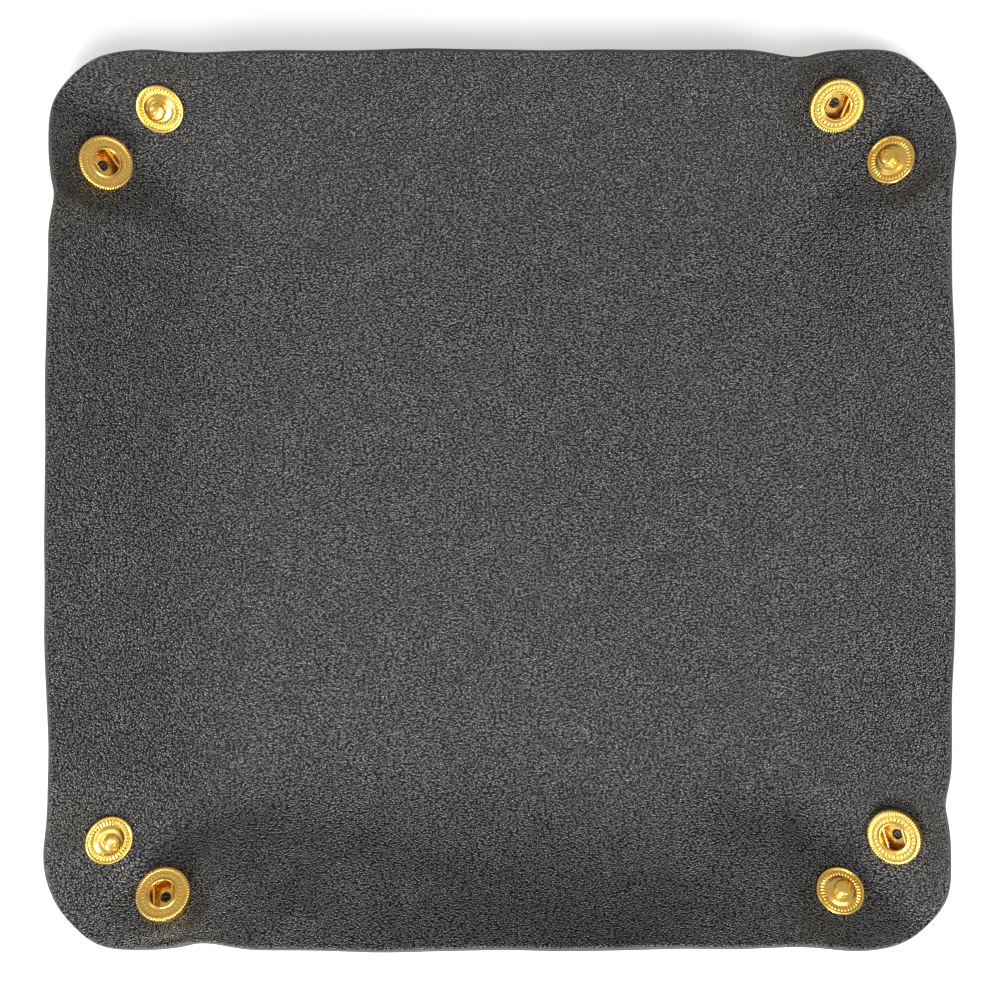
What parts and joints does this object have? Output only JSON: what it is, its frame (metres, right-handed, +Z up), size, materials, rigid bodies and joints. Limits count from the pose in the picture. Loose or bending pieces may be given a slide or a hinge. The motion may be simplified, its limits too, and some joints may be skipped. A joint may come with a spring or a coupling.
{
  "type": "valet tray",
  "caption": "Square black leather tray whose rounded corners pinch together with gold press fasteners to raise its four walls.",
  "frame": {"origin": "centre of the base's underside", "axes": "+Z up out of the tray, +X to the right side, +Y to the back side"},
  "size_m": [0.1986, 0.1986, 0.0183],
  "materials": {
    "leather": "black pebbled leather, satin, with raw cut edges",
    "gold_metal": "polished gold plating"
  },
  "bodies": {
    "base": {"leather_base": "leather"},
    "wall_front": {"leather_wall_front": "leather"},
    "wall_right": {"leather_wall_right": "leather"},
    "wall_back": {"leather_wall_back": "leather"},
    "wall_left": {"leather_wall_left": "leather"},
    "stud_ear_front_right": {"leather_stud_ear_front_right": "leather", "stud_front_right": "gold_metal", "post_front_right": "gold_metal"},
    "socket_ear_front_right": {"leather_socket_ear_front_right": "leather", "socket_cover_front_right": "gold_metal", "socket_back_front_right": "gold_metal", "socket_spring_front_right": "gold_metal", "cap_front_right": "gold_metal"},
    "stud_ear_back_right": {"leather_stud_ear_back_right": "leather", "stud_back_right": "gold_metal", "post_back_right": "gold_metal"},
    "socket_ear_back_right": {"leather_socket_ear_back_right": "leather", "socket_cover_back_right": "gold_metal", "socket_back_back_right": "gold_metal", "socket_spring_back_right": "gold_metal", "cap_back_right": "gold_metal"},
    "stud_ear_back_left": {"leather_stud_ear_back_left": "leather", "stud_back_left": "gold_metal", "post_back_left": "gold_metal"},
    "socket_ear_back_left": {"leather_socket_ear_back_left": "leather", "socket_cover_back_left": "gold_metal", "socket_back_back_left": "gold_metal", "socket_spring_back_left": "gold_metal", "cap_back_left": "gold_metal"},
    "stud_ear_front_left": {"leather_stud_ear_front_left": "leather", "stud_front_left": "gold_metal", "post_front_left": "gold_metal"},
    "socket_ear_front_left": {"leather_socket_ear_front_left": "leather", "socket_cover_front_left": "gold_metal", "socket_back_front_left": "gold_metal", "socket_spring_front_left": "gold_metal", "cap_front_left": "gold_metal"}
  },
  "joints": [
    {"name": "fold_front", "type": "hinge", "parent": "base", "child": "wall_front", "pos_m": [0, -0.063, 0.0018], "axis": [-1, 0, 0], "range_deg": [-21, 52.29], "stiffness_Nm_per_rad": 0.15},
    {"name": "ear_fold_front_right", "type": "hinge", "parent": "wall_front", "child": "stud_ear_front_right", "pos_m": [0.05925, -0.0638, 0.00019], "axis": [-0.1908, 0.8785, -0.438], "range_deg": [-13.19, 32.84], "stiffness_Nm_per_rad": 0.02},
    {"name": "corner_fold_front_right", "type": "hinge", "parent": "stud_ear_front_right", "child": "socket_ear_front_right", "pos_m": [0.06378, -0.06235, 0.00276], "axis": [0.6925, -0.6925, 0.2021], "range_deg": [-48.53, 120.82], "stiffness_Nm_per_rad": 0.02, "deforming": ["socket_spring_front_right"]},
    {"name": "fold_right", "type": "hinge", "parent": "base", "child": "wall_right", "pos_m": [0.063, 0, 0.0018], "axis": [0, -1, 0], "range_deg": [-21, 52.29], "stiffness_Nm_per_rad": 0.15},
    {"name": "ear_fold_back_right", "type": "hinge", "parent": "wall_right", "child": "stud_ear_back_right", "pos_m": [0.0638, 0.05925, 0.00019], "axis": [-0.8785, -0.1908, -0.438], "range_deg": [-13.19, 32.84], "stiffness_Nm_per_rad": 0.02},
    {"name": "corner_fold_back_right", "type": "hinge", "parent": "stud_ear_back_right", "child": "socket_ear_back_right", "pos_m": [0.06235, 0.06378, 0.00276], "axis": [0.6925, 0.6925, 0.2021], "range_deg": [-48.53, 120.82], "stiffness_Nm_per_rad": 0.02, "deforming": ["socket_spring_back_right"]},
    {"name": "fold_back", "type": "hinge", "parent": "base", "child": "wall_back", "pos_m": [0, 0.063, 0.0018], "axis": [1, 0, 0], "range_deg": [-21, 52.29], "stiffness_Nm_per_rad": 0.15},
    {"name": "ear_fold_back_left", "type": "hinge", "parent": "wall_back", "child": "stud_ear_back_left", "pos_m": [-0.05925, 0.0638, 0.00019], "axis": [0.1908, -0.8785, -0.438], "range_deg": [-13.19, 32.84], "stiffness_Nm_per_rad": 0.02},
    {"name": "corner_fold_back_left", "type": "hinge", "parent": "stud_ear_back_left", "child": "socket_ear_back_left", "pos_m": [-0.06378, 0.06235, 0.00276], "axis": [-0.6925, 0.6925, 0.2021], "range_deg": [-48.53, 120.82], "stiffness_Nm_per_rad": 0.02, "deforming": ["socket_spring_back_left"]},
    {"name": "fold_left", "type": "hinge", "parent": "base", "child": "wall_left", "pos_m": [-0.063, 0, 0.0018], "axis": [0, 1, 0], "range_deg": [-21, 52.29], "stiffness_Nm_per_rad": 0.15},
    {"name": "ear_fold_front_left", "type": "hinge", "parent": "wall_left", "child": "stud_ear_front_left", "pos_m": [-0.0638, -0.05925, 0.00019], "axis": [0.8785, 0.1908, -0.438], "range_deg": [-13.19, 32.84], "stiffness_Nm_per_rad": 0.02},
    {"name": "corner_fold_front_left", "type": "hinge", "parent": "stud_ear_front_left", "child": "socket_ear_front_left", "pos_m": [-0.06235, -0.06378, 0.00276], "axis": [-0.6925, -0.6925, 0.2021], "range_deg": [-48.53, 120.82], "stiffness_Nm_per_rad": 0.02, "deforming": ["socket_spring_front_left"]}
  ],
  "couplings": [
    {"joint": "ear_fold_front_right", "follows": "fold_front", "ratio": 0.62802},
    {"joint": "corner_fold_front_right", "follows": "fold_front", "ratio": 2.3105},
    {"joint": "fold_right", "follows": "fold_front", "ratio": 1},
    {"joint": "ear_fold_back_right", "follows": "fold_front", "ratio": 0.62802},
    {"joint": "corner_fold_back_right", "follows": "fold_front", "ratio": 2.3105},
    {"joint": "fold_back", "follows": "fold_front", "ratio": 1},
    {"joint": "ear_fold_back_left", "follows": "fold_front", "ratio": 0.62802},
    {"joint": "corner_fold_back_left", "follows": "fold_front", "ratio": 2.3105},
    {"joint": "fold_left", "follows": "fold_front", "ratio": 1},
    {"joint": "ear_fold_front_left", "follows": "fold_front", "ratio": 0.62802},
    {"joint": "corner_fold_front_left", "follows": "fold_front", "ratio": 2.3105}
  ]
}
